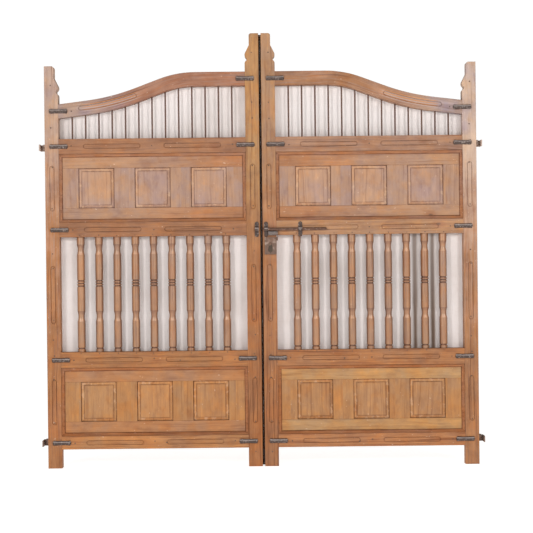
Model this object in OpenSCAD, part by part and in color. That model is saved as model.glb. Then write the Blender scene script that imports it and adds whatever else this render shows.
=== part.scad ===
// Two-leaf courtyard gate of teak with forged iron fittings and cotton curtains.
// The front faces -Y, +Z is up, the ground is z = 0 and the leaves meet at x = 0.

/* [Leaf] */
// width of one leaf over both stiles
leaf_w = 900; // [850:5:1000]
// thickness of the stiles and rails
leaf_t = 45; // [42:1:56]
// gap between the two closed leaves
meeting_gap = 10; // [9:0.5:14]
// width of a stile
stile_w = 58; // [52:1:70]

/* [Heights] */
// clear height under the bottom rail
foot_h = 79; // [60:1:110]
// height of the bottom rail
bottom_rail_h = 55; // [50:1:70]
// height of the lower panel opening
lower_panel_h = 287; // [260:1:330]
// height of the waist rail under the balusters
waist_rail_h = 66; // [56:1:80]
// visible length of the balusters
baluster_h = 483; // [420:1:560]
// height of the lock rail
lock_rail_h = 61; // [54:1:76]
// height of the upper panel opening
upper_panel_h = 288; // [260:1:330]
// height of the frieze rail under the iron bars
frieze_rail_h = 63; // [54:1:80]
// height of the bar opening at the meeting stile
bar_opening_h = 217; // [180:1:260]
// depth of the curved top rail
top_rail_h = 58; // [52:1:68]
// rise of each stile above the top rail
finial_rise = 160; // [145:1:200]

/* [Swept top rail] */
// drop of the top rail from the meeting stile to the outer stile
swoop_drop = 129; // [120:1:138]
// length of the level part beside the meeting stile
crest_len = 210; // [190:1:240]
// radius of the rounded crest
crest_r = 430; // [380:5:480]
// slope of the straight part below the crest
rail_slope = 20.5; // [18.5:0.5:22]
// radius of the hollow sweep
hollow_r = 900; // [750:10:1050]
// slope of the rail where it meets the outer stile
end_slope = 7; // [5:0.5:8.5]

/* [Finials] */
// width of the narrow finial top
neck_w = 40; // [36:0.5:42]
// radius of the finial top corner
finial_corner_r = 10; // [6:0.5:14]
// length of the straight finial neck
neck_len = 50; // [44:1:56]
// radius of the finial bulge
bulge_r = 18; // [16:0.5:19]
// depth of the bulge centre below the finial top
bulge_t = 90; // [86:1:94]
// depth of the notch under the bulge
notch_d = 8; // [5:0.5:9]
// radius of the shoulder under the notch
shoulder_r = 14; // [11:0.5:15]
// depth of the shoulder centre below the finial top
shoulder_t = 126; // [124:1:136]

/* [Joinery] */
// length of the rail tenons
tenon_len = 38; // [25:1:42]
// thickness of the rail tenons
tenon_t = 15; // [10:0.5:18]
// set-back of a tenon from the rail edges
tenon_inset = 12; // [11:0.5:15]
// depth of the panel grooves in stiles and rails
groove_d = 8; // [5:0.5:9]
// clearance round tenons, tongues and pegs
joint_clear = 0.2; // [0.1:0.05:0.4]

/* [Panels] */
// set-back of the panel boards behind the front
recess = 10; // [8:0.5:13]
// thickness of the panel boards
board_t = 18; // [16:0.5:22]
// visible height of the panel boards above and below
board_h = 46; // [38:1:54]
// visible width of the end boards
end_board_w = 67; // [55:1:80]
// width of the two middle boards
muntin_w = 86; // [70:1:100]
// thickness of the raised panel tongue
tongue_t = 6; // [5:0.5:7]
// depth of the raised panel tongue
tongue_d = 6; // [4:0.5:8]
// width of the bevel round the raised field
bevel_w = 14; // [10:0.5:18]
// rise of the bevel
bevel_rise = 3; // [1.5:0.1:3.4]
// step from the bevel to the raised field
field_step = 2.4; // [1:0.1:2.6]
// width of the mitred moulding
mould_w = 14; // [12:0.5:18]
// radius of the moulding bead
bead_r = 2.5; // [2:0.1:3]

/* [Balusters and bars] */
// number of balusters in a leaf
baluster_count = 9; // [7:1:10]
// radius of a baluster
baluster_r = 16.5; // [14:0.5:18]
// distance from a stile to the nearest baluster axis
baluster_edge = 85.5; // [74:0.5:92]
// depth of the two turned necks
cove_d = 3.4; // [2:0.1:4]
// length of a turned neck
cove_len = 42; // [34:1:50]
// radius of the turned grooves
ring_r = 2.8; // [2:0.1:3.2]
// radius of the baluster pegs
peg_r = 8; // [6:0.5:9]
// depth of the baluster pegs in the rails
peg_d = 18; // [12:1:22]
// number of iron bars in a leaf
bar_count = 13; // [9:1:15]
// radius of an iron bar
bar_r = 3.6; // [3:0.1:5]
// depth of the bar ends in the rails
bar_seat = 14; // [10:1:18]

/* [Scribed flutes] */
// width of a scribed flute
flute_w = 20; // [14:0.5:24]
// width of the scribed line
flute_line = 2.4; // [1.6:0.1:4]
// depth of the scribed line
flute_d = 1.4; // [0.8:0.1:3]
// length of the flutes on the rails
rail_flute_len = 240; // [180:5:280]
// length of the stile flutes beside the panels
panel_flute_len = 190; // [150:5:230]
// length of the stile flutes beside the balusters
long_flute_len = 242; // [200:5:320]
// start of the flute on the swept rail past the outer stile
swept_flute_start = 95; // [80:1:120]
// length of the flute on the swept rail
swept_flute_len = 225; // [180:5:260]

/* [Iron cleats] */
// length of a forged cleat
cleat_len = 77; // [60:1:90]
// half height of a forged cleat at its ends
cleat_r = 10.5; // [8:0.5:13]
// depth of the waist of a cleat
cleat_waist = 1.6; // [0.5:0.1:2.5]

/* [Hinges] */
// radius of the hinge pin
pin_r = 5; // [4:0.25:6]
// running clearance of the hinge pin in its eye
pin_clear = 0.1; // [0.06:0.02:0.1]
// radius of the rolled hinge eye
eye_r = 9; // [8:0.25:10]
// distance from the stile to the hinge eye
eye_gap = 2; // [1:0.25:4]
// width of the hinge strap
strap_w = 20; // [18:1:28]
// length of the hinge strap on the leaf
strap_len = 300; // [200:5:400]
// clearance between the hinge eye and the wall hook
hook_clear = 0.8; // [0.4:0.1:1.5]
// thickness of the wall plate
plate_t = 4; // [3:0.5:6]
// height of the lug under the hinge eye
lug_h = 5; // [4:0.5:8]
// height of the hinge pin above its eye
pin_rise = 3; // [2:0.5:6]
// radius of the wall screw holes
screw_r = 3.2; // [2.5:0.1:4]
// distance between the wall screw holes
screw_pitch = 24; // [20:1:28]

/* [Bolt and lock] */
// radius of the sliding bolt
bolt_r = 6; // [5:0.25:7]
// length of the sliding bolt
bolt_len = 266; // [250:1:285]
// place of the drawn bolt tip past the closing edge of its leaf
bolt_tip = 2; // [1:0.5:4]
// clearance round the bolt
bolt_clear = 0.4; // [0.3:0.05:0.6]
// width of a bolt staple
staple_w = 16; // [13:0.5:18]
// height of a bolt staple
staple_h = 64; // [50:1:70]
// thickness of a bolt staple
staple_t = 3; // [2:0.25:4]
// distance of the near staple from the closing edge
near_staple = 14.5; // [12:0.5:18]
// distance of the far staple from the closing edge
far_staple = 158; // [140:1:170]
// distance of the keeper from the closing edge of the other leaf
keeper_set = 14.5; // [12:0.5:30]
// room round the bolt in the keeper loop
keeper_clear = 2; // [1.5:0.25:3]
// width of the lock plate
lock_w = 48; // [42:1:52]
// height of the lock plate
lock_h = 72; // [60:1:85]
// thickness of the lock plate
lock_t = 8; // [6:0.5:10]
// set-back of the lock plate from the closing edge
lock_set = 8; // [4:0.5:10]
// gap between the lock, its barrel and the staples
lock_gap = 1.5; // [1:0.25:3]
// length of the lock barrel
barrel_len = 39; // [30:1:42]
// radius of the lock barrel
barrel_r = 9; // [7:0.25:10]
// radius of the keyhole cover pivot
pivot_r = 2.5; // [2:0.1:3]
// thickness of the keyhole cover
cover_t = 2.5; // [2:0.1:4]
// clearance in front of and behind the keyhole cover
cover_gap = 0.4; // [0.3:0.05:0.6]
// length of the keyhole cover below its pivot
cover_len = 24; // [20:0.5:28]

/* [Closing strips] */
// gap between the two closing strips
strip_gap = 0.5; // [0.5:0.1:2]
// depth of a closing strip
strip_d = 8; // [5:0.5:9]

/* [Curtains] */
// thickness of the curtain cloth with its pile of folds
cloth_t = 2; // [1.5:0.1:3]
// half depth of the curtain folds
fold_amp = 6; // [3:0.25:6]
// overlap of the curtain hems on the rails
hem = 15; // [10:0.5:15]
// number of folds in a lower curtain
lower_folds = 12; // [9:1:15]

/* [Hidden] */
$fn = 64;
wood = [0.68, 0.48, 0.33];
pale_wood = [0.74, 0.55, 0.38];
dark_wood = [0.20, 0.14, 0.10];
iron = [0.34, 0.29, 0.27];
steel = [0.58, 0.57, 0.56];
cotton = [0.84, 0.80, 0.78];
cut = 1;
half_w = meeting_gap / 2 + leaf_w;
open_w = leaf_w - 2 * stile_w;
far_u = leaf_w - stile_w;
face_y = -leaf_t / 2;
back_y = leaf_t / 2;
bottom_z = [foot_h, foot_h + bottom_rail_h];
waist_z = [bottom_z[1] + lower_panel_h, bottom_z[1] + lower_panel_h + waist_rail_h];
lock_z = [waist_z[1] + baluster_h, waist_z[1] + baluster_h + lock_rail_h];
frieze_z = [lock_z[1] + upper_panel_h, lock_z[1] + upper_panel_h + frieze_rail_h];
crest_z = [frieze_z[1] + bar_opening_h, frieze_z[1] + bar_opening_h + top_rail_h];
meeting_h = crest_z[1] + finial_rise;
outer_h = meeting_h - swoop_drop;
lower_zone = [bottom_z[1], waist_z[0]];
upper_zone = [lock_z[1], frieze_z[0]];
// the swept rail is a round crest, a straight slope and a hollow sweep that share their tangents
steep = [sin(rail_slope), -cos(rail_slope)];
gentle = [sin(end_slope), -cos(end_slope)];
slope_run = open_w - crest_len - crest_r * steep[0] - hollow_r * (steep[0] - gentle[0]);
slope_drop = swoop_drop - crest_r * (1 + steep[1]) - hollow_r * (steep[1] - gentle[1]);
steep_len = -(slope_drop * gentle[1] + slope_run * gentle[0]) / sin(rail_slope - end_slope);
crest_c = [far_u - crest_len, crest_z[1] - crest_r];
hollow_c = crest_c - (crest_r + hollow_r) * steep + steep_len * [steep[1], -steep[0]];
// points on the lower edge of the swept rail, from the crest to the outer stile
low_a = crest_c - (crest_r - top_rail_h) * steep;
low_b = hollow_c + (hollow_r + top_rail_h) * steep;
low_c = hollow_c + (hollow_r + top_rail_h) * gentle;
outer_rail_z = [low_edge(stile_w), crest_z[1] - swoop_drop];
board_y = face_y + recess;
tongue_y = board_y + (board_t - tongue_t) / 2;
panel_w = (open_w - 2 * mould_w - 2 * end_board_w - 2 * muntin_w) / 3;
bay = open_w / (bar_count + 1);
baluster_pitch = (open_w - 2 * baluster_edge) / (baluster_count - 1);
cove_r = (cove_len * cove_len / 4 + cove_d * cove_d) / (2 * cove_d);
waist_r = (cleat_len * cleat_len / 4 + cleat_waist * cleat_waist) / (2 * cleat_waist);
strap_t = eye_r - pin_r - pin_clear;
axis_u = -eye_gap - eye_r;
axis_y = back_y + eye_r;
plate_u = axis_u - eye_r - hook_clear - plate_t;
hook_w = 1.5 * eye_r;
bolt_z = (lock_z[0] + lock_z[1]) / 2 - bolt_r;
bolt_off = bolt_r + bolt_clear;
bolt_x = meeting_gap / 2 + bolt_tip;
lock_top = bolt_z - staple_h / 2 - lock_gap;
pivot_x = meeting_gap / 2 + lock_set + lock_w / 2;
pivot_z = lock_top - 0.4 * lock_h;
barrel_x = meeting_gap / 2 + near_staple + staple_w / 2 + lock_gap;
barrel_z = bolt_z - bolt_r - lock_gap - barrel_r;
strip_w = (meeting_gap - strip_gap) / 2;

function low_edge(u) = u >= crest_c[0] ? crest_z[0]
  : u >= low_a[0] ? crest_c[1] + sqrt(pow(crest_r - top_rail_h, 2) - pow(u - crest_c[0], 2))
  : u >= low_b[0] ? low_b[1] + (u - low_b[0]) * tan(rail_slope)
  : u >= low_c[0] ? hollow_c[1] - sqrt(pow(hollow_r + top_rail_h, 2) - pow(u - hollow_c[0], 2))
  : low_c[1] + (u - low_c[0]) * tan(end_slope);

function fold(t, n) = fold_amp * (0.76 * sin(360 * n * t) + 0.24 * sin(612 * n * t + 40));

module on_left() {
  translate([-half_w, 0, 0]) children();
}

module on_right() {
  translate([half_w, 0, 0]) mirror([1, 0, 0]) children();
}

// upright slab of a front outline
module slab(y0, t) {
  translate([0, y0 + t, 0]) rotate([90, 0, 0]) linear_extrude(height = t) children();
}

// outline with round ends
module stadium(len, w) {
  square([len - w, w], center = true);
  translate([(len - w) / 2, 0]) circle(d = w);
  translate([(w - len) / 2, 0]) circle(d = w);
}

module flute_line_2d(len) {
  difference() {
    stadium(len, flute_w);
    stadium(len - 2 * flute_line, flute_w - 2 * flute_line);
  }
}

module flute_cut(u, z, len, turned) {
  slab(face_y - cut, flute_d + cut) translate([u, z]) rotate(turned) flute_line_2d(len);
}

// carved stile top, straight on the outer edge
module stile_outline(h) {
  square([stile_w, h - shoulder_t]);
  square([stile_w - shoulder_r, h - shoulder_t + shoulder_r]);
  translate([stile_w - shoulder_r, h - shoulder_t]) circle(r = shoulder_r);
  square([stile_w - notch_d, h - bulge_t]);
  translate([stile_w - bulge_r, h - bulge_t]) circle(r = bulge_r);
  square([neck_w, h - finial_corner_r]);
  square([neck_w - finial_corner_r, h]);
  translate([neck_w - finial_corner_r, h - finial_corner_r]) circle(r = finial_corner_r);
}

// slope from the neck of a carved stile top out to its bulge
module neck_slope(h) {
  polygon([[neck_w - cut, h - neck_len], [neck_w, h - neck_len],
    [stile_w - bulge_r + bulge_r * cos(26), h - bulge_t + bulge_r * sin(26)],
    [stile_w - bulge_r, h - bulge_t], [neck_w - cut, h - bulge_t - cut]]);
}

module mortise(z) {
  translate([stile_w - tenon_len - joint_clear, -tenon_t / 2 - joint_clear,
    z[0] + tenon_inset - joint_clear])
    cube([tenon_len + joint_clear + cut, tenon_t + 2 * joint_clear,
      z[1] - z[0] - 2 * tenon_inset + 2 * joint_clear]);
}

module stile_groove(zone) {
  translate([stile_w - groove_d - joint_clear, board_y - joint_clear, zone[0] - groove_d - joint_clear])
    cube([groove_d + joint_clear + cut, board_t + 2 * joint_clear,
      zone[1] - zone[0] + 2 * groove_d + 2 * joint_clear]);
}

module stile(h, top_z) {
  difference() {
    union() {
      slab(face_y, leaf_t) stile_outline(h);
      slab(face_y, leaf_t) neck_slope(h);
    }
    for (z = [bottom_z, waist_z, lock_z, frieze_z, top_z]) mortise(z);
    stile_groove(lower_zone);
    stile_groove(upper_zone);
    flute_cut(stile_w / 2, (lower_zone[0] + lower_zone[1]) / 2, panel_flute_len, 90);
    flute_cut(stile_w / 2, (waist_z[1] + lock_z[0]) / 2, long_flute_len, 90);
    flute_cut(stile_w / 2, (upper_zone[0] + upper_zone[1]) / 2, panel_flute_len, 90);
  }
}

module outer_stile() {
  color(pale_wood) stile(outer_h, outer_rail_z);
}

module meeting_stile() {
  color(pale_wood) translate([leaf_w, 0, 0]) mirror([1, 0, 0]) stile(meeting_h, crest_z);
}

module rail_blank(z) {
  translate([stile_w, face_y, z[0]]) cube([open_w, leaf_t, z[1] - z[0]]);
  translate([stile_w - tenon_len, -tenon_t / 2, z[0] + tenon_inset])
    cube([open_w + 2 * tenon_len, tenon_t, z[1] - z[0] - 2 * tenon_inset]);
}

// groove for the panel boards in the edge of a rail at height z
module rail_groove(z) {
  translate([stile_w - cut, board_y - joint_clear, z - groove_d - joint_clear])
    cube([open_w + 2 * cut, board_t + 2 * joint_clear, 2 * groove_d + 2 * joint_clear]);
}

module rail_flutes(z) {
  flute_cut(stile_w + 0.285 * open_w, (z[0] + z[1]) / 2, rail_flute_len, 0);
  flute_cut(stile_w + 0.715 * open_w, (z[0] + z[1]) / 2, rail_flute_len, 0);
}

module peg_holes(z) {
  for (i = [0 : baluster_count - 1])
    translate([stile_w + baluster_edge + i * baluster_pitch, 0, z - peg_d - joint_clear])
      cylinder(r = peg_r + joint_clear, h = 2 * peg_d + 2 * joint_clear);
}

module bottom_rail() {
  color(wood) difference() {
    rail_blank(bottom_z);
    rail_groove(bottom_z[1]);
    rail_flutes(bottom_z);
  }
}

module waist_rail() {
  color(wood) difference() {
    rail_blank(waist_z);
    rail_groove(waist_z[0]);
    rail_flutes(waist_z);
    peg_holes(waist_z[1]);
  }
}

module lock_rail() {
  color(wood) difference() {
    rail_blank(lock_z);
    rail_groove(lock_z[1]);
    rail_flutes(lock_z);
    peg_holes(lock_z[0]);
  }
}

module bar_rods(grow) {
  for (i = [1 : bar_count])
    translate([stile_w + i * bay, 0, frieze_z[1] - bar_seat - grow])
      cylinder(r = bar_r + grow, h = low_edge(stile_w + i * bay) - frieze_z[1] + 2 * bar_seat + 2 * grow);
}

module frieze_rail() {
  color(wood) difference() {
    rail_blank(frieze_z);
    rail_groove(frieze_z[0]);
    rail_flutes(frieze_z);
    bar_rods(joint_clear);
  }
}

// round shoulder of the top rail and its level crest
module crest_band() {
  intersection() {
    translate(crest_c) difference() {
      circle(r = crest_r, $fn = 180);
      circle(r = crest_r - top_rail_h, $fn = 180);
    }
    translate(crest_c) polygon([[0, 0], [0, 2 * crest_r], -2 * crest_r * steep]);
  }
  translate([crest_c[0], crest_z[0]]) square([crest_len, top_rail_h]);
}

// straight slope of the top rail below its crest
module steep_band() {
  polygon([-crest_r * steep + crest_c, low_a, low_b, hollow_c + hollow_r * steep]);
}

// hollow sweep of the top rail
module hollow_band(r0, r1, from, to) {
  translate(hollow_c) intersection() {
    difference() {
      circle(r = r1, $fn = 360);
      circle(r = r0, $fn = 360);
    }
    polygon([[0, 0], 2 * r1 * from, 2 * r1 * to]);
  }
}

// straight end of the top rail at the outer stile
module end_band() {
  polygon([hollow_c + hollow_r * gentle, low_c, [stile_w, outer_rail_z[0]], [stile_w, outer_rail_z[1]]]);
}

// heart of the top rail where two of its parts meet at the lower edge point p
module rail_core(p, slope) {
  translate([p[0], 0, p[1]]) rotate([0, -slope, 0]) translate([0, 0, top_rail_h / 2])
    cube([top_rail_h / 2, leaf_t / 2, top_rail_h / 2], center = true);
}

// flute bent along the hollow sweep of the top rail
module swept_flute_2d(w) {
  mid_r = hollow_r + top_rail_h / 2;
  a0 = asin((stile_w + swept_flute_start - hollow_c[0]) / mid_r);
  a1 = asin((stile_w + swept_flute_start + swept_flute_len - hollow_c[0]) / mid_r);
  hollow_band(mid_r - w / 2, mid_r + w / 2, [sin(a0), -cos(a0)], [sin(a1), -cos(a1)]);
  translate(hollow_c) {
    translate(mid_r * [sin(a0), -cos(a0)]) circle(d = w);
    translate(mid_r * [sin(a1), -cos(a1)]) circle(d = w);
  }
}

module top_rail() {
  color(wood) difference() {
    union() {
      slab(face_y, leaf_t) crest_band();
      slab(face_y, leaf_t) steep_band();
      slab(face_y, leaf_t) hollow_band(hollow_r, hollow_r + top_rail_h, gentle, steep);
      slab(face_y, leaf_t) end_band();
      rail_core(low_a, rail_slope);
      rail_core(low_b, rail_slope);
      rail_core(low_c, end_slope);
      translate([far_u - cut, -tenon_t / 2, crest_z[0] + tenon_inset])
        cube([tenon_len + cut, tenon_t, top_rail_h - 2 * tenon_inset]);
      translate([stile_w - tenon_len, -tenon_t / 2, outer_rail_z[0] + tenon_inset])
        cube([tenon_len + cut, tenon_t, outer_rail_z[1] - outer_rail_z[0] - 2 * tenon_inset]);
    }
    bar_rods(joint_clear);
    slab(face_y - cut, flute_d + cut) difference() {
      swept_flute_2d(flute_w);
      swept_flute_2d(flute_w - 2 * flute_line);
    }
  }
}

// level boards of a panel zone, grooved for the tongues
module boards(zone) {
  color(wood) difference() {
    for (z = [zone[0] - groove_d, zone[1] - mould_w - board_h])
      translate([stile_w - groove_d, board_y, z])
        cube([open_w + 2 * groove_d, board_t, groove_d + mould_w + board_h]);
    for (z = [zone[0] + mould_w + board_h, zone[1] - mould_w - board_h])
      translate([stile_w - groove_d - cut, tongue_y - joint_clear, z - tongue_d - joint_clear])
        cube([open_w + 2 * groove_d + 2 * cut, tongue_t + 2 * joint_clear, 2 * tongue_d + 2 * joint_clear]);
  }
}

// upright board from u0 to u1 with stub tongues, grooved on the sides that face a panel
module muntin(zone, u0, u1, groove_left, groove_right) {
  z0 = zone[0] + mould_w + board_h;
  z1 = zone[1] - mould_w - board_h;
  nip = tongue_d + 2 * joint_clear;
  difference() {
    union() {
      translate([u0, board_y, z0]) cube([u1 - u0, board_t, z1 - z0]);
      translate([u0 + nip, tongue_y, z0 - tongue_d])
        cube([u1 - u0 - 2 * nip, tongue_t, z1 - z0 + 2 * tongue_d]);
    }
    if (groove_left)
      translate([u0 - cut, tongue_y - joint_clear, z0 - tongue_d - cut])
        cube([tongue_d + joint_clear + cut, tongue_t + 2 * joint_clear, z1 - z0 + 2 * tongue_d + 2 * cut]);
    if (groove_right)
      translate([u1 - tongue_d - joint_clear, tongue_y - joint_clear, z0 - tongue_d - cut])
        cube([tongue_d + joint_clear + cut, tongue_t + 2 * joint_clear, z1 - z0 + 2 * tongue_d + 2 * cut]);
  }
}

module muntins(zone) {
  first = stile_w + mould_w + end_board_w;
  color(pale_wood) {
    muntin(zone, stile_w - groove_d, first, false, true);
    muntin(zone, first + panel_w, first + panel_w + muntin_w, true, true);
    muntin(zone, first + 2 * panel_w + muntin_w, first + 2 * panel_w + 2 * muntin_w, true, true);
    muntin(zone, leaf_w - first, far_u + groove_d, true, false);
  }
}

// raised panel with a bevelled border and a stepped field
module raised_panel(w, h) {
  bevel_y = tongue_y - bevel_rise;
  translate([-tongue_d, tongue_y, -tongue_d]) cube([w + 2 * tongue_d, tongue_t, h + 2 * tongue_d]);
  intersection() {
    translate([0, tongue_y, -cut]) linear_extrude(height = h + 2 * cut)
      polygon([[joint_clear, cut], [w - joint_clear, cut], [w - joint_clear, 0],
        [w - bevel_w, -bevel_rise], [bevel_w, -bevel_rise], [joint_clear, 0]]);
    translate([-cut, tongue_y, 0]) rotate([90, 0, 90]) linear_extrude(height = w + 2 * cut)
      polygon([[cut, joint_clear], [cut, h - joint_clear], [0, h - joint_clear],
        [-bevel_rise, h - bevel_w], [-bevel_rise, bevel_w], [0, joint_clear]]);
  }
  translate([bevel_w, bevel_y - field_step, bevel_w])
    cube([w - 2 * bevel_w, field_step + bevel_rise, h - 2 * bevel_w]);
}

module panels(zone) {
  first = stile_w + mould_w + end_board_w;
  z0 = zone[0] + mould_w + board_h;
  color(wood) for (i = [0 : 2])
    translate([first + i * (panel_w + muntin_w), 0, z0])
      raised_panel(panel_w, zone[1] - zone[0] - 2 * mould_w - 2 * board_h);
}

// moulding section with a round bead beside the frame and a slope to the boards
module mould_section() {
  translate([bead_r - recess, bead_r]) circle(r = bead_r);
  translate([bead_r - recess, 0]) square([recess - bead_r, 2 * bead_r]);
  polygon([[0, 0], [0, mould_w], [-0.25 * recess, mould_w],
    [-0.75 * recess, 2 * bead_r + 1], [-0.65 * recess, 2 * bead_r], [-0.65 * recess, 0]]);
}

module mould_strip(len) {
  intersection() {
    rotate([90, 0, 90]) linear_extrude(height = len) mould_section();
    slab(-recess - cut, recess + 2 * cut)
      polygon([[joint_clear, 0], [len - joint_clear, 0],
        [len - mould_w - joint_clear, mould_w], [mould_w + joint_clear, mould_w]]);
  }
}

module moulding(zone) {
  h = zone[1] - zone[0];
  color(wood) {
    translate([stile_w, board_y, zone[0]]) mould_strip(open_w);
    translate([stile_w, board_y, zone[1]]) mirror([0, 0, 1]) mould_strip(open_w);
    translate([stile_w, board_y, zone[0]]) mirror([1, 0, 0]) rotate([0, -90, 0]) mould_strip(h);
    translate([far_u, board_y, zone[0]]) rotate([0, -90, 0]) mould_strip(h);
  }
}

// turned section with two hollow necks, a band of grooves and a grooved foot
module baluster_section() {
  translate([0, -peg_d]) square([peg_r, baluster_h + 2 * peg_d]);
  difference() {
    square([baluster_r, baluster_h]);
    for (f = [0.89, 0.31])
      translate([baluster_r - cove_d + cove_r, f * baluster_h]) circle(r = cove_r, $fn = 180);
    for (f = [0.62, 0.597, 0.574, 0.032])
      translate([baluster_r, f * baluster_h]) circle(r = ring_r);
  }
}

module balusters() {
  color(wood) for (i = [0 : baluster_count - 1])
    translate([stile_w + baluster_edge + i * baluster_pitch, 0, waist_z[1]])
      rotate_extrude() baluster_section();
}

module bars() {
  color(iron) bar_rods(0);
}

// gathered cloth seen from above
module cloth_plan(n) {
  steps = 8 * n;
  w = open_w + 2 * hem;
  y0 = back_y + joint_clear + fold_amp;
  polygon(concat(
    [for (i = [0 : steps]) [stile_w - hem + w * i / steps, y0 + fold(i / steps, n)]],
    [for (i = [steps : -1 : 0]) [stile_w - hem + w * i / steps, y0 + fold(i / steps, n) + cloth_t]]));
}

module upper_curtain() {
  color(cotton) intersection() {
    translate([0, 0, frieze_z[1] - hem])
      linear_extrude(height = bar_opening_h + 2 * hem) cloth_plan(bar_count + 1);
    slab(0, leaf_t + 4 * fold_amp) polygon(concat(
      [[far_u + 2 * hem, frieze_z[1] - 2 * hem], [stile_w - 2 * hem, frieze_z[1] - 2 * hem],
        [stile_w - 2 * hem, low_edge(stile_w) + hem]],
      [for (i = [0 : bar_count + 1]) [stile_w + i * bay, low_edge(stile_w + i * bay) + hem]],
      [[far_u + 2 * hem, crest_z[0] + hem]]));
  }
}

module lower_curtain() {
  color(cotton) translate([0, 0, waist_z[1] - hem])
    linear_extrude(height = baluster_h + 2 * hem) cloth_plan(lower_folds);
}

// half-round forged cleat, thinner in the middle
module cleat() {
  intersection() {
    rotate([0, 90, 0]) rotate_extrude() difference() {
      translate([0, -cleat_len / 2]) square([cleat_r, cleat_len]);
      translate([cleat_r - cleat_waist + waist_r, 0]) circle(r = waist_r, $fn = 180);
    }
    translate([-cleat_len, -2 * cleat_r, -2 * cleat_r]) cube([2 * cleat_len, 2 * cleat_r, 4 * cleat_r]);
  }
}

module cleats() {
  color(iron) {
    for (z = [bottom_z, waist_z, lock_z, frieze_z, outer_rail_z])
      translate([stile_w, face_y, (z[0] + z[1]) / 2]) cleat();
    for (z = [bottom_z, waist_z, frieze_z, crest_z])
      translate([far_u, face_y, (z[0] + z[1]) / 2]) cleat();
  }
}

// strap hinge on the back with its end rolled into an eye
module hinge_strap(z) {
  color(iron) difference() {
    union() {
      translate([axis_u, axis_y, z - strap_w / 2]) cylinder(r = eye_r, h = strap_w);
      translate([axis_u + 2, back_y, z - strap_w / 2]) cube([strap_len - axis_u - 2, strap_t, strap_w]);
      translate([strap_len, back_y, z]) rotate([-90, 0, 0]) cylinder(d = strap_w, h = strap_t);
    }
    translate([axis_u, axis_y, z - strap_w]) cylinder(r = pin_r + pin_clear, h = 2 * strap_w);
  }
}

// wall hook: a screwed plate with a lug and the hinge pin
module wall_hook(z) {
  low = z - strap_w / 2 - hook_clear - lug_h;
  color(iron) difference() {
    union() {
      translate([plate_u, face_y, low]) cube([plate_t, leaf_t + 2 * eye_r, strap_w + hook_clear + lug_h]);
      translate([plate_u, axis_y - hook_w / 2, low]) cube([axis_u - plate_u, hook_w, lug_h]);
      translate([axis_u, axis_y, low]) cylinder(d = hook_w, h = lug_h);
      translate([axis_u, axis_y, low]) cylinder(r = pin_r, h = strap_w + hook_clear + lug_h + pin_rise);
    }
    for (y = [-screw_pitch / 2, screw_pitch / 2])
      translate([plate_u - cut, y, z]) rotate([0, 90, 0]) cylinder(r = screw_r, h = plate_t + 2 * cut);
  }
}

// bridge staple over the bolt, centred on its axis
module staple(clear) {
  inner_r = bolt_r + clear;
  intersection() {
    translate([-staple_w / 2, face_y, 0]) rotate([90, 0, 90]) linear_extrude(height = staple_w)
      difference() {
        union() {
          translate([-staple_t, -staple_h / 2]) square([staple_t, staple_h]);
          translate([-bolt_off, -inner_r - staple_t]) square([bolt_off, 2 * inner_r + 2 * staple_t]);
          translate([-bolt_off, 0]) circle(r = inner_r + staple_t);
        }
        translate([-bolt_off, 0]) circle(r = inner_r);
        translate([-bolt_off, -inner_r]) square([bolt_off + cut, 2 * inner_r]);
      }
    slab(face_y - 4 * bolt_r, 4 * bolt_r) rotate(90) stadium(staple_h, staple_w);
  }
}

module bolt_staples() {
  color(iron) for (s = [near_staple, far_staple])
    translate([meeting_gap / 2 + s, 0, bolt_z]) staple(bolt_clear);
}

module bolt_keeper() {
  color(iron) translate([-meeting_gap / 2 - keeper_set, 0, bolt_z]) staple(keeper_clear);
}

// round bolt with a blunt tip, drawn back clear of the other leaf
module bolt_rod() {
  color(iron) translate([bolt_x, face_y - bolt_off, bolt_z]) rotate([0, 90, 0]) {
    cylinder(r1 = 0.65 * bolt_r, r2 = bolt_r, h = 2 * bolt_r);
    translate([0, 0, 2 * bolt_r]) cylinder(r = bolt_r, h = bolt_len - 3 * bolt_r);
    translate([0, 0, bolt_len - bolt_r]) cylinder(r1 = bolt_r, r2 = 0.7 * bolt_r, h = bolt_r);
  }
}

// lock plate with a side tab, a keyhole and the cover pivot
module lock_plate() {
  x0 = meeting_gap / 2 + lock_set;
  color(iron) {
    difference() {
      union() {
        translate([x0, face_y - lock_t, lock_top - lock_h]) cube([lock_w, lock_t, lock_h]);
        translate([x0 + lock_w - cut, face_y - lock_t / 2, lock_top - lock_h / 5])
          cube([lock_w / 6 + cut, lock_t / 2, lock_h / 5]);
      }
      slab(face_y - lock_t - cut, lock_t / 2 + cut) translate([pivot_x, pivot_z - cover_len]) {
        circle(r = 4);
        translate([-1.5, -13]) square([3, 13]);
      }
    }
    slab(face_y - lock_t - cover_t - 2 * cover_gap, cover_t + 2 * cover_gap + cut)
      translate([pivot_x, pivot_z]) circle(r = pivot_r);
    slab(face_y - lock_t - cover_t - 2 * cover_gap - 1.5, 1.5)
      translate([pivot_x, pivot_z]) circle(r = 1.8 * pivot_r);
  }
}

module lock_barrel() {
  color(steel) translate([barrel_x, face_y, barrel_z]) rotate([0, 90, 0]) {
    intersection() {
      translate([0, -barrel_r / 2, 0]) cylinder(r = barrel_r, h = barrel_len);
      translate([-2 * barrel_r, -3 * barrel_r, 0]) cube([4 * barrel_r, 3 * barrel_r, barrel_len]);
    }
  }
}

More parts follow.
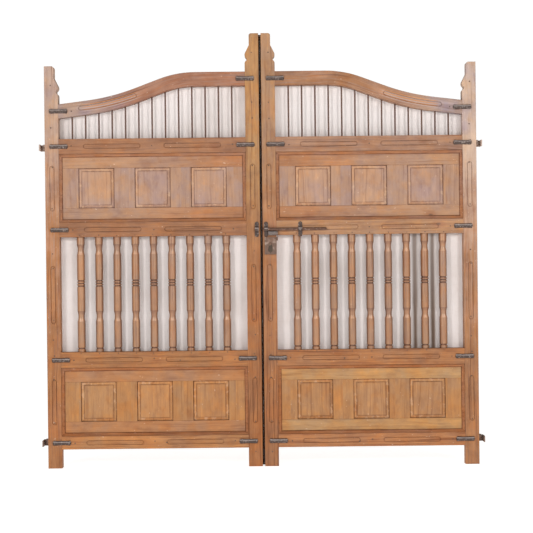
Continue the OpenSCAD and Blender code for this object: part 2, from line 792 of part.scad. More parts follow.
module keyhole_cover() {
  color(iron) slab(face_y - lock_t - cover_t - cover_gap, cover_t) translate([pivot_x, pivot_z])
    difference() {
      union() {
        circle(r = 2.4 * pivot_r);
        translate([0, -cover_len]) circle(r = 4 * pivot_r);
        polygon([[-2.4 * pivot_r, 0], [-4 * pivot_r, -cover_len], [4 * pivot_r, -cover_len],
          [2.4 * pivot_r, 0]]);
      }
      circle(r = pivot_r + pin_clear);
    }
}

// dark lath on the closing edge of a meeting stile
module closing_strip() {
  color(dark_wood) translate([leaf_w, back_y - strip_d, foot_h / 4])
    cube([strip_w, strip_d, meeting_h - foot_h / 4 - bead_r]);
}

on_left() outer_stile();  // left_outer_stile
on_left() meeting_stile();  // left_meeting_stile
on_left() top_rail();  // left_top_rail
on_left() frieze_rail();  // left_frieze_rail
on_left() lock_rail();  // left_lock_rail
on_left() waist_rail();  // left_waist_rail
on_left() bottom_rail();  // left_bottom_rail
on_left() boards(upper_zone);  // left_upper_boards
on_left() muntins(upper_zone);  // left_upper_muntins
on_left() panels(upper_zone);  // left_upper_panels
on_left() moulding(upper_zone);  // left_upper_moulding
on_left() boards(lower_zone);  // left_lower_boards
on_left() muntins(lower_zone);  // left_lower_muntins
on_left() panels(lower_zone);  // left_lower_panels
on_left() moulding(lower_zone);  // left_lower_moulding
on_left() balusters();  // left_balusters
on_left() bars();  // left_bars
on_left() upper_curtain();  // left_upper_curtain
on_left() lower_curtain();  // left_lower_curtain
on_left() cleats();  // left_cleats
on_left() hinge_strap((frieze_z[0] + frieze_z[1]) / 2);  // left_upper_strap
on_left() hinge_strap((bottom_z[0] + bottom_z[1]) / 2);  // left_lower_strap
on_left() wall_hook((frieze_z[0] + frieze_z[1]) / 2);  // left_upper_hook
on_left() wall_hook((bottom_z[0] + bottom_z[1]) / 2);  // left_lower_hook
on_left() closing_strip();  // left_closing_strip
bolt_keeper();
on_right() outer_stile();  // right_outer_stile
on_right() meeting_stile();  // right_meeting_stile
on_right() top_rail();  // right_top_rail
on_right() frieze_rail();  // right_frieze_rail
on_right() lock_rail();  // right_lock_rail
on_right() waist_rail();  // right_waist_rail
on_right() bottom_rail();  // right_bottom_rail
on_right() boards(upper_zone);  // right_upper_boards
on_right() muntins(upper_zone);  // right_upper_muntins
on_right() panels(upper_zone);  // right_upper_panels
on_right() moulding(upper_zone);  // right_upper_moulding
on_right() boards(lower_zone);  // right_lower_boards
on_right() muntins(lower_zone);  // right_lower_muntins
on_right() panels(lower_zone);  // right_lower_panels
on_right() moulding(lower_zone);  // right_lower_moulding
on_right() balusters();  // right_balusters
on_right() bars();  // right_bars
on_right() upper_curtain();  // right_upper_curtain
on_right() lower_curtain();  // right_lower_curtain
on_right() cleats();  // right_cleats
on_right() hinge_strap((frieze_z[0] + frieze_z[1]) / 2);  // right_upper_strap
on_right() hinge_strap((bottom_z[0] + bottom_z[1]) / 2);  // right_lower_strap
on_right() wall_hook((frieze_z[0] + frieze_z[1]) / 2);  // right_upper_hook
on_right() wall_hook((bottom_z[0] + bottom_z[1]) / 2);  // right_lower_hook
on_right() closing_strip();  // right_closing_strip
bolt_rod();
bolt_staples();
lock_plate();
lock_barrel();
keyhole_cover();
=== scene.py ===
import math
import random

import bmesh
import bpy
from mathutils import Matrix, Vector, noise


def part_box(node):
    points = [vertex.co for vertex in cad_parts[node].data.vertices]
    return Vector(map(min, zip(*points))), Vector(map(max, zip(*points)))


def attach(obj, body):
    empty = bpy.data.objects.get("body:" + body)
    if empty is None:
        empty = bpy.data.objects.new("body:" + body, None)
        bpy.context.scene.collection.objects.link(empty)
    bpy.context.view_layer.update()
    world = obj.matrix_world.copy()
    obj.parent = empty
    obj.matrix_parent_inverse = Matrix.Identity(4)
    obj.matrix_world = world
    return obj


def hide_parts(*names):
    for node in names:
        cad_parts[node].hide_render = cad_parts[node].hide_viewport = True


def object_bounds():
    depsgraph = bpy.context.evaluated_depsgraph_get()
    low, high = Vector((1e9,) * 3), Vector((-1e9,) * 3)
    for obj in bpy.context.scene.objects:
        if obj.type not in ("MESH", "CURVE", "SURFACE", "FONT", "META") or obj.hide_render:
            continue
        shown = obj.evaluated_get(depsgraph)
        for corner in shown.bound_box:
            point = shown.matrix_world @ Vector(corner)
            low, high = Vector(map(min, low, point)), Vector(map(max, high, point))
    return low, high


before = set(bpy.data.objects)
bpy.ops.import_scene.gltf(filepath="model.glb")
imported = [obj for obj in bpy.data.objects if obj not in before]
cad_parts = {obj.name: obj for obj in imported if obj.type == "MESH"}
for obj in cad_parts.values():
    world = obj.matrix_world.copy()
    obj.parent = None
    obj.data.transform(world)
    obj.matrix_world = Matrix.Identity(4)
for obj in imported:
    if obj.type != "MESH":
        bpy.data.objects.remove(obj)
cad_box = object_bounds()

# Named sizes are in millimetres, as in the part's source, unless they say otherwise. u runs across a leaf
# from its hinge edge, y runs to the back and z up from the ground. Lengths inside the shaders are in metres.
MM = 0.001
SIDES = ("left", "right")
X, Y, Z = 0, 1, 2


def extent(node, axis):
    """Where a node of the left leaf starts and ends along an axis, in millimetres."""
    low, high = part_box(f"left_{node}")
    return round(low[axis] / MM, 2), round(high[axis] / MM, 2)


# the leaf as the frame has it: its faces, its width and stiles, and the foot and top of each rail
FRONT, BACK = extent("outer_stile", Y)
HINGE_EDGE = -extent("outer_stile", X)[0]
LEAF_W = HINGE_EDGE + extent("meeting_stile", X)[1]
STILE_W = HINGE_EDGE + extent("outer_stile", X)[1]
FAR_U = LEAF_W - STILE_W
BOTTOM, WAIST, LOCK, FRIEZE = [extent(f"{rail}_rail", Z) for rail in ("bottom", "waist", "lock", "frieze")]
BOTTOM_MID, WAIST_MID, LOCK_MID, FRIEZE_MID = [sum(rail) / 2.0 for rail in (BOTTOM, WAIST, LOCK, FRIEZE)]
LOWER_ZONE, UPPER_ZONE = (BOTTOM[1], WAIST[0]), (LOCK[1], FRIEZE[0])
BALUSTER_Z, BALUSTER_H = WAIST[1], LOCK[0] - WAIST[1]

# what stands between the rails: boards round the panels, panels and balusters
BOARD_W = 60.0
LOWER_PANELS, UPPER_PANELS = [(low + BOARD_W, high - BOARD_W) for low, high in (LOWER_ZONE, UPPER_ZONE)]
PANEL_U, PANEL_W, PANEL_PITCH, PANEL_BEVEL = 139.0, 150.0, 236.0, 13.5
BALUSTERS, BALUSTER_U, BALUSTER_PITCH = 9, 143.5, 76.625

# heights of the turned grooves, and of the collars above the necks of the balusters
NECK_H = 21.0
RING_Z = [BALUSTER_Z + BALUSTER_H * share for share in (0.62, 0.597, 0.574, 0.032)]
COLLAR_Z = [BALUSTER_Z + BALUSTER_H * share + NECK_H for share in (0.89, 0.31)]

# the swept top rail: a round crest, a straight slope, a hollow sweep and a straight end
CREST_U, CREST_Z, CREST_R = 632.0, 1227.0, 430.0
SWEEP_RUN, SWEEP_DROP, RAIL_H = CREST_U - STILE_W, 129.0, 58.0
STEEP, GENTLE, HOLLOW_R = math.radians(20.5), math.radians(7.0), 900.0
STEEP_SIN, STEEP_COS = math.sin(STEEP), math.cos(STEEP)
GENTLE_SIN, GENTLE_COS = math.sin(GENTLE), math.cos(GENTLE)
SLOPE_RUN = SWEEP_RUN - CREST_R * STEEP_SIN - HOLLOW_R * (STEEP_SIN - GENTLE_SIN)
SLOPE_DROP = SWEEP_DROP - CREST_R * (1.0 - STEEP_COS) - HOLLOW_R * (GENTLE_COS - STEEP_COS)
STEEP_LEN = (SLOPE_DROP * GENTLE_COS - SLOPE_RUN * GENTLE_SIN) / math.sin(STEEP - GENTLE)
HOLLOW_U = CREST_U - (CREST_R + HOLLOW_R) * STEEP_SIN - STEEP_LEN * STEEP_COS
HOLLOW_Z = CREST_Z + (CREST_R + HOLLOW_R) * STEEP_COS - STEEP_LEN * STEEP_SIN


def leaf_x(side, u):
    """Row x in metres of a point u millimetres from a leaf's hinge edge."""
    return (u - HINGE_EDGE) * MM if side == "left" else (HINGE_EDGE - u) * MM


def low_edge(u):
    """Height in millimetres of the underside of the swept top rail."""
    inner, outer = CREST_R - RAIL_H, HOLLOW_R + RAIL_H
    slope_u, end_u = HOLLOW_U + outer * STEEP_SIN, HOLLOW_U + outer * GENTLE_SIN
    if u >= CREST_U:
        return CREST_Z + inner
    if u >= CREST_U - inner * STEEP_SIN:
        return CREST_Z + math.sqrt(inner ** 2 - (u - CREST_U) ** 2)
    if u >= slope_u:
        return HOLLOW_Z - outer * STEEP_COS + (u - slope_u) * math.tan(STEEP)
    if u >= end_u:
        return HOLLOW_Z - math.sqrt(outer ** 2 - (u - HOLLOW_U) ** 2)
    return HOLLOW_Z - outer * GENTLE_COS + (u - end_u) * math.tan(GENTLE)


def smooth(t):
    """Smooth step from 0 to 1."""
    t = min(1.0, max(0.0, t))
    return t * t * (3.0 - 2.0 * t)


def stray(rng, reach):
    """A random shift of up to reach either way."""
    return rng.uniform(-reach, reach)


def lin(r, g, b):
    """Linear colour of an sRGB triple."""
    out = []
    for v in (r, g, b):
        v /= 255.0
        out.append(v / 12.92 if v <= 0.04045 else ((v + 0.055) / 1.055) ** 2.4)
    return (*out, 1.0)


class Shader:
    """One node material, with short calls for the nodes used below."""

    def __init__(self, name):
        self.mat = bpy.data.materials.new(name)
        self.mat.use_nodes = True
        self.tree = self.mat.node_tree
        self.tree.nodes.clear()

    def put(self, socket, value):
        if isinstance(value, bpy.types.NodeSocket):
            self.tree.links.new(value, socket)
        else:
            socket.default_value = value

    def node(self, kind, ins=None, **props):
        n = self.tree.nodes.new("ShaderNode" + kind)
        for key, value in props.items():
            setattr(n, key, value)
        for key, value in (ins or {}).items():
            self.put(n.inputs[key], value)
        return n

    def math(self, op, a, b=0.0):
        return self.node("Math", {0: a, 1: b}, operation=op).outputs[0]

    def times(self, a, b):
        return self.math("MULTIPLY", a, b)

    def plus(self, a, b):
        return self.math("ADD", a, b)

    def minus(self, a, b):
        return self.math("SUBTRACT", a, b)

    def gap(self, a, b):
        return self.math("ABSOLUTE", self.minus(a, b))

    def times_plus(self, a, factor, offset):
        return self.node("Math", {0: a, 1: factor, 2: offset}, operation="MULTIPLY_ADD").outputs[0]

    def inside(self, a, low, high):
        """Distance from a to the nearer of low and high, positive between them."""
        return self.math("MINIMUM", self.minus(a, low), self.minus(high, a))

    def vector(self, op, a, b):
        return self.node("VectorMath", {0: a, 1: b}, operation=op)

    def scaled(self, vector, x, y, z):
        return self.vector("MULTIPLY", vector, (x, y, z)).outputs[0]

    def parts(self, vector):
        return self.node("SeparateXYZ", {0: vector}).outputs[:]

    def place(self):
        return self.node("TexCoord").outputs["Object"]

    def mix(self, fac, a, b, blend="MIX"):
        n = self.node("Mix", {0: fac, 6: a, 7: b}, data_type="RGBA", blend_type=blend)
        return n.outputs[2]

    def toned(self, colour, r, g, b):
        return self.mix(1.0, colour, (r, g, b, 1.0), "MULTIPLY")

    def ease(self, value, lo, hi, to_lo=0.0, to_hi=1.0):
        ins = {"Value": value, "From Min": lo, "From Max": hi, "To Min": to_lo, "To Max": to_hi}
        return self.node("MapRange", ins, interpolation_type="SMOOTHSTEP").outputs[0]

    def noise(self, vector, scale=1.0, detail=3.0, rough=0.55):
        ins = {"Vector": vector, "Scale": scale, "Detail": detail, "Roughness": rough}
        return self.node("TexNoise", ins).outputs[0]

    def crevice(self, distance):
        return self.node("AmbientOcclusion", {"Distance": distance}, samples=6).outputs["AO"]

    def rounding(self, radius):
        return self.node("Bevel", {"Radius": radius}, samples=4).outputs[0]

    def bump(self, strength, distance, height, normal=None):
        ins = {"Strength": strength, "Distance": distance, "Height": height}
        if normal:
            ins["Normal"] = normal
        return self.node("Bump", ins).outputs[0]

    def finish(self, colour, rough, normal, metallic=0.0, **constants):
        ins = {"Base Color": colour, "Roughness": rough, "Normal": normal, "Metallic": metallic}
        bsdf = self.node("BsdfPrincipled", ins)
        for key, value in constants.items():
            bsdf.inputs[key.replace("_", " ")].default_value = value
        out = self.node("OutputMaterial")
        self.tree.links.new(bsdf.outputs[0], out.inputs[0])
        return self.mat


# noise fields of the wood: what it follows, stretch across and along the grain, detail and roughness
FIELDS = {
    "broad": ("grain", (58.0, 58.0, 2.6), 4.0, 0.60),
    "fine": ("grain", (190.0, 190.0, 6.0), 4.0, 0.65),
    "pores": ("grain", (800.0, 800.0, 30.0), 2.0, 0.55),
    "checks": ("grain", (120.0, 120.0, 1.8), 2.0, 0.55),
    "patch": ("plank", (6.5, 6.5, 6.5), 4.0, 0.60),
    "cloud": ("plank", (17.0, 17.0, 17.0), 3.0, 0.55),
    "blot": ("plank", (30.0, 30.0, 15.0), 4.0, 0.60),
    "flecks": ("plank", (150.0, 150.0, 70.0), 2.0, 0.55),
}
# soft tints: field, where it starts and is full, its strength and its change of colour
TINTS = (
    ("patch", 0.40, 0.62, 1.00, (1.08, 0.95, 0.72)),
    ("patch", 0.46, 0.30, 0.80, (0.95, 0.97, 1.05)),
    ("cloud", 0.46, 0.64, 0.80, (1.05, 0.94, 0.76)),
    ("cloud", 0.48, 0.34, 0.80, (0.97, 0.99, 1.06)),
    ("blot", 0.50, 0.68, 0.85, (0.82, 0.79, 0.82)),
    ("blot", 0.48, 0.32, 0.80, (1.16, 1.14, 1.04)),
)
# the swept rail's underside as a curve over u: its points, the height that is 0 on it and the span to 1
CURVE_POINTS, CURVE_START, CURVE_STEP = 23, 0.05, 0.042
CURVE_BASE, CURVE_SPAN = 1450.0, 200.0
# the bent flute of the swept rail: its middle above the underside, and its lines in radians a metre
FLUTE_MID, FLUTE_LINES = 29.5, 600.0


class Teak(Shader):
    """Old oiled teak, laid on in steps: grain, tints, figure, wear, and painted light and shade."""

    def __init__(self, name, axis, seed, cell, swept):
        super().__init__(name)
        coords = self.node("TexCoord").outputs
        self.x, self.y, self.z = self.parts(coords["Object"])
        self.nx, self.ny, self.nz = self.parts(coords["Normal"])
        self.u = self.minus(HINGE_EDGE * MM, self.math("ABSOLUTE", self.x))
        self.front = self.ease(self.ny, 0.2, -0.2)
        across, along = (self.x, self.z) if axis == "z" else (self.z, self.x)
        if swept:
            self.in_rail = self.above_low_edge()
            across = self.in_rail
        self.pick = None
        if cell:
            self.pick = self.lot(seed, *cell)
            along = self.plus(along, self.times(self.pick, 9.0))
            across = self.plus(across, self.times(self.pick, 3.0))
        self.plank = self.node("CombineXYZ", {0: across, 1: self.y, 2: along}).outputs[0]
        self.plank = self.vector("ADD", self.plank, (seed * 1.73, seed * 0.61, seed * 2.39)).outputs[0]
        bend = self.noise(self.scaled(self.plank, 7.0, 7.0, 3.0), detail=2.0)
        wave = self.node("CombineXYZ", {0: self.times(self.minus(bend, 0.5), 0.03)}).outputs[0]
        self.grain = self.vector("ADD", self.plank, wave).outputs[0]
        follow = {"grain": self.grain, "plank": self.plank}
        self.field = {}
        for key, (which, stretch, detail, rough) in FIELDS.items():
            self.field[key] = self.noise(self.scaled(follow[which], *stretch), detail=detail, rough=rough)
        drift = self.noise(self.scaled(self.plank, 9.0, 9.0, 1.6), detail=3.0)
        ring_at = self.plus(self.times(self.parts(self.grain)[0], 240.0), self.times(drift, 34.0))
        self.ring = self.times_plus(self.math("SINE", ring_at), 0.5, 0.5)

    def above_low_edge(self):
        """Height in metres above the underside of the swept rail."""
        curve = self.node("FloatCurve", {"Value": self.math("DIVIDE", self.u, LEAF_W * MM)})
        points = curve.mapping.curves[0].points
        for i in range(CURVE_POINTS):
            at = CURVE_START + CURVE_STEP * i
            height = (low_edge(LEAF_W * at) - CURVE_BASE) / CURVE_SPAN
            if i < 2:
                points[i].location = (at, height)
            else:
                points.new(at, height)
        curve.mapping.update()
        return self.minus(self.z, self.times_plus(curve.outputs[0], CURVE_SPAN * MM, CURVE_BASE * MM))

    def lot(self, seed, pitch, start):
        """A random number for each piece that repeats across a leaf."""
        index = self.math("FLOOR", self.math("DIVIDE", self.minus(self.u, start * MM), pitch * MM))
        index = self.plus(index, self.times(self.math("SIGN", self.x), 31.7))
        ins = {"W": self.plus(index, seed * 7.31)}
        return self.node("TexWhiteNoise", ins, noise_dimensions="1D").outputs[0]

    def blend(self, fac, colour):
        self.colour = self.mix(fac, self.colour, colour)

    def tone(self, fac, r, g, b):
        self.colour = self.mix(fac, self.colour, self.toned(self.colour, r, g, b))

    def tint(self, tone, far, grade, vary):
        """The colour of the timber, before its figure."""
        self.colour = lin(*tone)
        if far:
            kind, lo, hi = grade
            drift = self.times(self.minus(self.field["patch"], 0.5), 0.9 * (hi - lo))
            self.blend(self.ease(self.plus(self.z if kind == "z" else self.u, drift), lo, hi), lin(*far))
        if self.pick:
            self.tone(self.times(self.pick, vary), 0.80, 0.76, 0.74)
            blush = self.math("FRACT", self.times(self.pick, 7.7))
            self.tone(self.times(blush, vary), 1.08, 1.03, 0.84)
        for key, lo, hi, strength, change in TINTS:
            self.tone(self.ease(self.field[key], lo, hi, 0.0, strength), *change)

    def figure(self, streak):
        """Dark and pale streaks, growth rings, pores, checks and pale flecks."""
        self.dark = self.toned(self.colour, 0.56, 0.42, 0.33)
        pale = self.toned(self.colour, 1.28, 1.30, 1.34)
        field = self.field
        self.blend(self.ease(field["broad"], 0.50, 0.72, 0.0, 0.55 * streak), self.dark)
        self.blend(self.ease(field["broad"], 0.46, 0.28, 0.0, 0.50 * streak), pale)
        self.blend(self.ease(field["fine"], 0.52, 0.74, 0.0, 0.85 * streak), self.dark)
        self.blend(self.ease(field["fine"], 0.48, 0.28, 0.0, 0.75 * streak), pale)
        self.blend(self.times(self.ease(self.ring, 0.62, 0.98), 0.16 * streak), self.dark)
        self.blend(self.ease(field["pores"], 0.58, 0.76, 0.0, 0.42 * min(1.0, streak)), self.dark)
        split = self.toned(self.dark, 0.76, 0.66, 0.60)
        self.blend(self.ease(field["checks"], 0.60, 0.69, 0.0, 0.65 * streak), split)
        self.blend(self.ease(field["flecks"], 0.70, 0.78, 0.0, 0.55), lin(226, 200, 178))

    def flute_lines(self):
        """Bright and grey lines along the bent flute of the swept rail."""
        off = self.minus(self.in_rail, FLUTE_MID * MM)
        lines = self.math("SINE", self.times(off, FLUTE_LINES))
        run = self.times(self.ease(self.u, 0.150, 0.175), self.ease(self.u, 0.420, 0.370))
        within = self.times(self.ease(self.math("ABSOLUTE", off), 0.017, 0.013), run)
        within = self.times(within, self.front)
        self.blend(self.times(within, self.ease(lines, 0.0, 0.8, 0.0, 0.75)), lin(196, 130, 72))
        self.blend(self.times(within, self.ease(lines, 0.0, -0.8, 0.0, 0.75)), lin(176, 150, 142))

    def knots(self, share):
        cells = self.node("TexVoronoi", {"Vector": self.scaled(self.grain, 13.0, 13.0, 8.0), "Scale": 1.0})
        lot = self.node("SeparateColor", {0: cells.outputs["Color"]}).outputs[0]
        chosen = self.math("GREATER_THAN", lot, 1.0 - 0.34 * share)
        eye = self.times(self.ease(cells.outputs["Distance"], 0.12, 0.04), chosen)
        halo = self.times(self.ease(cells.outputs["Distance"], 0.32, 0.10), chosen)
        self.blend(self.times(halo, 0.45), self.toned(self.dark, 1.1, 0.9, 0.7))
        self.blend(self.times(eye, 0.8), lin(84, 50, 34))

    def dry(self, weather, upwards):
        """Pale, dry wood, on a stile more of it towards the top."""
        dry = self.plus(self.times(self.field["fine"], 0.7), self.times(self.field["patch"], 0.6))
        dry = self.ease(dry, 0.52, 0.82, 0.0, weather)
        if upwards:
            dry = self.times(dry, self.ease(self.z, 0.2, 1.1, 0.25, 1.0))
        self.blend(dry, lin(214, 192, 178))

    def turned_light_and_shade(self):
        """Balusters: painted shade on their sides and down-facing parts, painted highlights and glints on
        up-facing shoulders, and painted shade in the grooves and under the collars.
        """
        limb = self.math("ABSOLUTE", self.ny)
        # painted shade: the sides of the round are darker, as light falls on its front
        self.tone(self.ease(limb, 0.95, 0.30, 0.0, 0.95), 0.44, 0.32, 0.25)
        # painted highlight on faces turned up, painted shade on faces turned down
        self.tone(self.ease(self.nz, 0.05, 0.24, 0.0, 0.85), 1.30, 1.34, 1.40)
        self.tone(self.ease(self.nz, -0.05, -0.24, 0.0, 0.7), 0.66, 0.56, 0.48)
        # painted glint on up-facing shoulders near the front, in patches
        painted_glint = self.times(self.ease(self.nz, 0.04, 0.24), self.ease(limb, 0.70, 0.99))
        painted_glint = self.times(painted_glint, self.ease(self.field["blot"], 0.30, 0.65, 0.08, 0.34))
        self.blend(painted_glint, lin(226, 190, 166))
        # painted shade in the turned grooves and under the collars
        for at in RING_Z:
            self.tone(self.ease(self.gap(self.z, at * MM), 0.0036, 0.0018, 0.0, 0.75), 0.36, 0.24, 0.18)
        for at in COLLAR_Z:
            self.tone(self.ease(self.gap(self.z, at * MM), 0.0030, 0.0010, 0.0, 0.45), 0.50, 0.38, 0.30)

    def bevels(self, low, high, inner):
        """Raised panels: paler bevels in patches, painted highlight on bevels facing up and towards -x,
        painted shade on bevels facing down, painted shade round them and at their inner step, and pale
        scuffs.
        """
        blot = self.field["blot"]
        t = self.math("MODULO", self.minus(self.u, PANEL_U * MM), PANEL_PITCH * MM)
        upright = self.inside(self.z, low * MM, high * MM)
        inset = self.math("MINIMUM", self.inside(t, 0.0, PANEL_W * MM), upright)
        slope = self.times(self.ease(inset, 0.0025, 0.0045), self.ease(inset, PANEL_BEVEL * MM, 0.0090))
        # lit: painted highlight on bevels facing up and on those facing -x
        lit = self.plus(self.ease(self.nx, -0.06, -0.16), self.ease(self.nz, 0.06, 0.16))
        bevel_wear_and_light = self.times(slope, self.ease(blot, 0.30, 0.62, 0.35, 1.0))
        self.tone(self.times(bevel_wear_and_light, 0.5), 1.12, 1.08, 1.00)
        self.tone(self.times(self.times(bevel_wear_and_light, lit), 0.9), 1.30, 1.28, 1.22)
        # painted shade on bevels facing down
        foot = self.times(slope, self.ease(self.nz, -0.06, -0.16))
        self.tone(self.times(foot, 0.6), 0.98, 0.84, 0.70)
        # painted shade at the inner step and round the panels, stronger on their hinge side
        step = self.ease(self.gap(inset, PANEL_BEVEL * MM), 0.0050, 0.0010, 0.0, inner)
        shade = self.plus(self.ease(t, 0.012, 0.005, 0.40, 0.90), self.ease(self.nz, 0.04, 0.12, 0.0, 0.2))
        quirk_shade = self.math("MAXIMUM", self.times(self.ease(inset, 0.0040, 0.0010), shade), step)
        broken = self.ease(self.plus(blot, self.field["cloud"]), 0.75, 1.20, 0.25, 1.0)
        quirk_shade = self.times(self.times(quirk_shade, broken), self.front)
        self.tone(quirk_shade, 0.38, 0.25, 0.18)
        scuff = self.noise(self.scaled(self.plank, 48.0, 48.0, 48.0), detail=3.0)
        scuff = self.times(self.ease(scuff, 0.50, 0.68, 0.0, 0.34), self.ease(inset, 0.017, 0.010))
        self.blend(self.times(scuff, self.front), lin(226, 190, 156))

    def quirks(self, low, high):
        """A moulding round a panel zone: a painted highlight on its ridge, in patches, between painted shade
        in its two quirks.
        """
        blot = self.field["blot"]
        across = self.inside(self.u, STILE_W * MM, FAR_U * MM)
        inset = self.math("MINIMUM", across, self.inside(self.z, low * MM, high * MM))
        # painted highlight along the ridge of the moulding
        ridge = self.times(self.ease(inset, 0.0025, 0.0045), self.ease(inset, 0.0085, 0.0065))
        self.tone(self.times(ridge, self.ease(blot, 0.40, 0.62, 0.1, 0.8)), 1.30, 1.26, 1.16)
        # painted shade in the quirks either side of the ridge
        quirk_shade = self.math("MAXIMUM", self.ease(inset, 0.0030, 0.0010), self.ease(inset, 0.0090, 0.0125))
        broken = self.ease(self.plus(blot, self.field["patch"]), 0.70, 1.25, 0.45, 0.9)
        self.tone(self.times(quirk_shade, broken), 0.40, 0.27, 0.20)

    def shade_and_seams(self, crevice_shade, seam):
        """Painted shade in corners and crevices, in patches, and darker edges, partly dark joints and partly
        painted shade. Returns the normal with rounded edges.
        """
        # painted shade where the surface is hemmed in, from ambient occlusion
        shaded_crevices = self.times(self.ease(self.crevice(0.016), 0.80, 0.28), crevice_shade)
        self.tone(self.times(shaded_crevices, self.ease(self.field["patch"], 0.25, 0.65, 0.65, 1.0)), 0.30, 0.19, 0.13)
        rounded = self.rounding(0.0022)
        true = self.node("NewGeometry").outputs["True Normal"]
        turn = self.vector("DOT_PRODUCT", rounded, true).outputs["Value"]
        # edges darker: dark joints, and painted shade where an edge rounds off
        self.tone(self.times(self.ease(turn, 0.995, 0.86), seam), 0.46, 0.34, 0.28)
        return rounded


def wood(name, axis, tone, seed, far=None, grade=None, weather=0.0, streak=1.0, cell=None, crevice_shade=0.4,
         seam=0.62, swept=False, rough=0.52, knots=0.5, turned=False, panels=None, rim=None, vary=0.3,
         gloss=0.25):
    """One teak material. axis is the run of the grain.

    tone and far are its colours and grade the run between them, in metres along z or u. cell is the pitch
    and start of pieces that repeat across a leaf. panels is the height span of raised panels and the
    strength of the painted shade at their inner step. rim is the height span of a moulding."""
    s = Teak(name, axis, seed, cell, swept)
    s.tint(tone, far, grade, vary)
    s.figure(streak)
    if swept:
        s.flute_lines()
    if knots:
        s.knots(knots)
    if weather:
        s.dry(weather, bool(grade) and grade[0] == "z")
    if turned:
        s.turned_light_and_shade()
    if panels:
        s.bevels(*panels)
    if rim:
        s.quirks(*rim)
    rounded = s.shade_and_seams(crevice_shade, seam)
    fine = s.field["fine"]
    height = s.plus(s.times(fine, 0.8), s.times(s.field["pores"], 0.5))
    height = s.plus(height, s.times(s.ring, 0.15))
    bump = s.bump(0.12 if turned else 0.45, 0.0011, height, rounded)
    shine = s.plus(s.times(fine, 0.24), rough - 0.06 + 0.16 * weather)
    return s.finish(s.colour, shine, bump, Specular_IOR_Level=gloss)


def iron(name, body, film, bare, rust=0.5, bright=0.5, metal=0.55, scale=1.0, ridge=0.0, hollow_shade=0.7):
    """Hand-forged iron: hammer facets, brown rust film, bare spots polished by handling and painted shade
    in its hollows; with ridge, a painted highlight on its upper crown and painted shade on its flanks.
    """
    s = Shader(name)
    coords = s.node("TexCoord").outputs
    p = coords["Object"]
    ins = {"Vector": p, "Scale": 210.0 * scale}
    facets = s.node("TexVoronoi", ins, feature="SMOOTH_F1").outputs["Distance"]
    cloud = s.noise(p, scale=60.0 * scale, detail=5.0, rough=0.62)
    pits = s.noise(p, scale=620.0 * scale, detail=3.0)
    colour = s.mix(s.ease(cloud, 0.44, 0.64, 0.0, rust), lin(*body), lin(*film))
    rub = s.plus(s.times(facets, 0.8), s.times(cloud, 0.5))
    rub = s.ease(rub, 0.62, 0.86, 0.0, bright)
    colour = s.mix(rub, colour, lin(*bare))
    colour = s.mix(s.ease(pits, 0.58, 0.74, 0.0, 0.5), colour, lin(44, 34, 29))
    # painted shade in hollows and corners
    colour = s.mix(s.ease(s.crevice(0.008), 0.75, 0.25, 0.0, hollow_shade), colour, lin(38, 27, 21))
    # ridge: painted highlight on the upward-facing crown, painted shade on the flanks
    if ridge:
        up = s.parts(coords["Normal"])[2]
        crown = s.times(s.ease(up, 0.05, 0.35), s.ease(up, 0.75, 0.5))
        colour = s.mix(s.times(crown, ridge), colour, lin(*bare))
        flank = s.ease(s.math("ABSOLUTE", up), 0.66, 0.95, 0.0, ridge)
        colour = s.mix(flank, colour, lin(56, 44, 39))
    height = s.plus(facets, s.times(pits, 0.25))
    bump = s.bump(0.6, 0.0016, height, s.rounding(0.0012))
    shine = s.ease(rub, 0.0, 1.0, 0.62, 0.40)
    return s.finish(colour, shine, bump, s.ease(rub, 0.0, 1.0, metal * 0.6, metal), Specular_IOR_Level=0.45)


# row x in metres of two dark brown bands in the right leaf's lower cloth, each between two balusters
DARK_BANDS = (0.647, 0.7215)


def cotton(name, tone, shade):
    """Plain-weave cotton, washed and slightly stained."""
    s = Shader(name)
    p = s.place()
    x, _, z = s.parts(p)
    ins = {"Vector": p, "Scale": 240.0, "Distortion": 0.8, "Detail": 1.0}
    warp = s.node("TexWave", ins, bands_direction="X").outputs[1]
    weft = s.node("TexWave", ins, bands_direction="Z").outputs[1]
    weave = s.times(warp, weft)
    slub = s.noise(s.scaled(p, 30.0, 30.0, 420.0), detail=3.0)
    rib = s.noise(s.scaled(p, 420.0, 30.0, 22.0), detail=3.0)
    stain = s.noise(s.scaled(p, 5.0, 5.0, 3.2), detail=4.0, rough=0.6)
    colour = s.mix(s.ease(stain, 0.40, 0.72, 0.0, 0.75), lin(*tone), lin(*shade))
    colour = s.mix(s.ease(slub, 0.52, 0.72, 0.0, 0.22), colour, lin(*shade))
    colour = s.mix(s.ease(rib, 0.55, 0.75, 0.0, 0.30), colour, lin(*shade))
    colour = s.mix(s.times(weave, 0.10), colour, lin(190, 178, 170))
    # the bands grow darker towards the bottom
    band_fade = s.times(s.ease(z, 1.2, 1.1), s.ease(z, 0.95, 0.50, 0.78, 1.0))
    for mark in DARK_BANDS:
        off = s.plus(s.gap(x, mark), s.times(s.minus(stain, 0.5), 0.012))
        colour = s.mix(s.times(band_fade, s.ease(off, 0.016, 0.003)), colour, lin(116, 95, 81))
    bump = s.bump(0.35, 0.0006, s.plus(weave, s.times(slub, 0.8)))
    return s.finish(colour, s.ease(slub, 0.3, 0.7, 0.86, 0.96), bump, Sheen_Weight=0.25, Sheen_Roughness=0.6,
                    Specular_IOR_Level=0.2)


def dress(node, mat):
    """Give a CAD node a material."""
    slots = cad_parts[node].data.materials
    slots.clear()
    slots.append(mat)


# an edge that turns by more degrees than this stays sharp
WOOD_SHARP, IRON_SHARP, CLOTH_SHARP = 30.0, 50.0, 60.0


